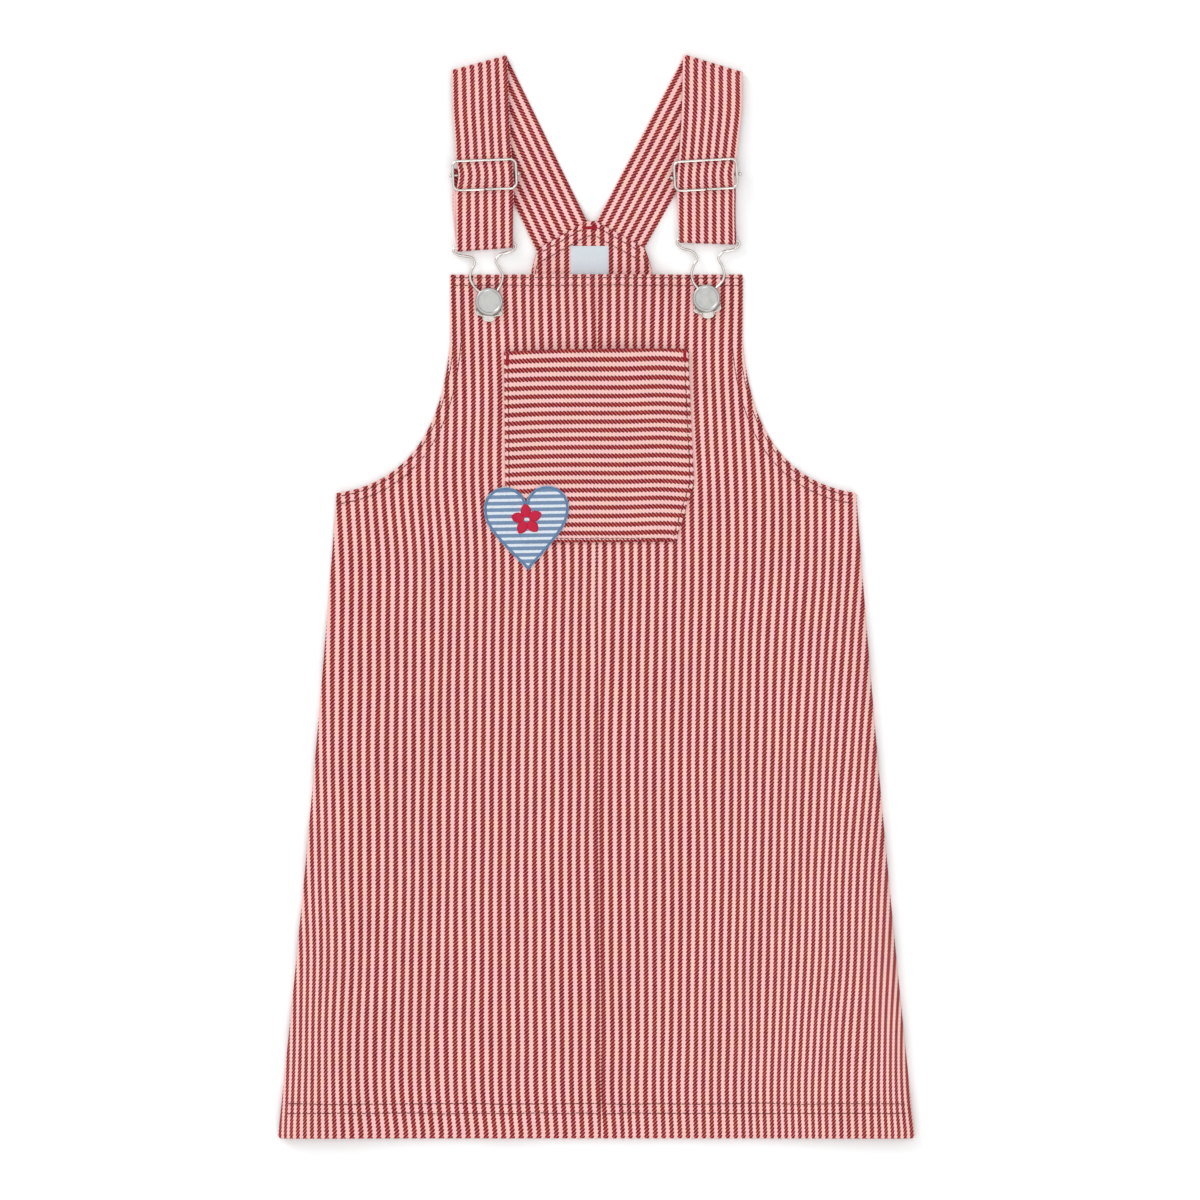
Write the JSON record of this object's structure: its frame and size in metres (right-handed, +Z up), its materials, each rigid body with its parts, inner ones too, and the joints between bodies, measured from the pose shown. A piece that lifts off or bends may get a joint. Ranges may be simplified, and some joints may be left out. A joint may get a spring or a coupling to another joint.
{
  "type": "pinafore dress",
  "caption": "Child's dungaree pinafore dress in red and pink striped twill, laid flat, with a bib pocket, heart patch and straps on wire sliders and hooks.",
  "frame": {"origin": "the middle of the laid dress, on the surface it lies on", "axes": "+Z up from the surface, +Y from the hem to the strap folds, +X to the right of the laid dress seen from above"},
  "size_m": [0.3944, 0.672, 0.0069],
  "materials": {
    "body_twill": "washed cotton twill, dark red and pale pink stripes of equal width",
    "strap_twill": "the same striped twill, cut as flat tubes",
    "label_weave": "pale grey-blue woven label, left bare",
    "heart_cloth": "blue and white striped cotton with a blue satin-stitched edge",
    "wire": "tarnished nickel-plated steel wire and plate",
    "button_metal": "matt nickel tack button with a raised rim"
  },
  "bodies": {
    "root": {"back": "body_twill", "front_left": "body_twill", "front_right": "body_twill", "back_facing": "body_twill", "label": "label_weave", "pocket": "body_twill", "heart_patch": "heart_cloth", "strap_left": "strap_twill", "strap_right": "strap_twill", "slider_left": "wire", "slider_right": "wire", "slider_bar_left": "wire", "slider_bar_right": "wire", "hook_left": "wire", "hook_right": "wire", "hook_plate_left": "wire", "hook_plate_right": "wire", "button_left": "button_metal", "button_right": "button_metal"}
  },
  "joints": []
}
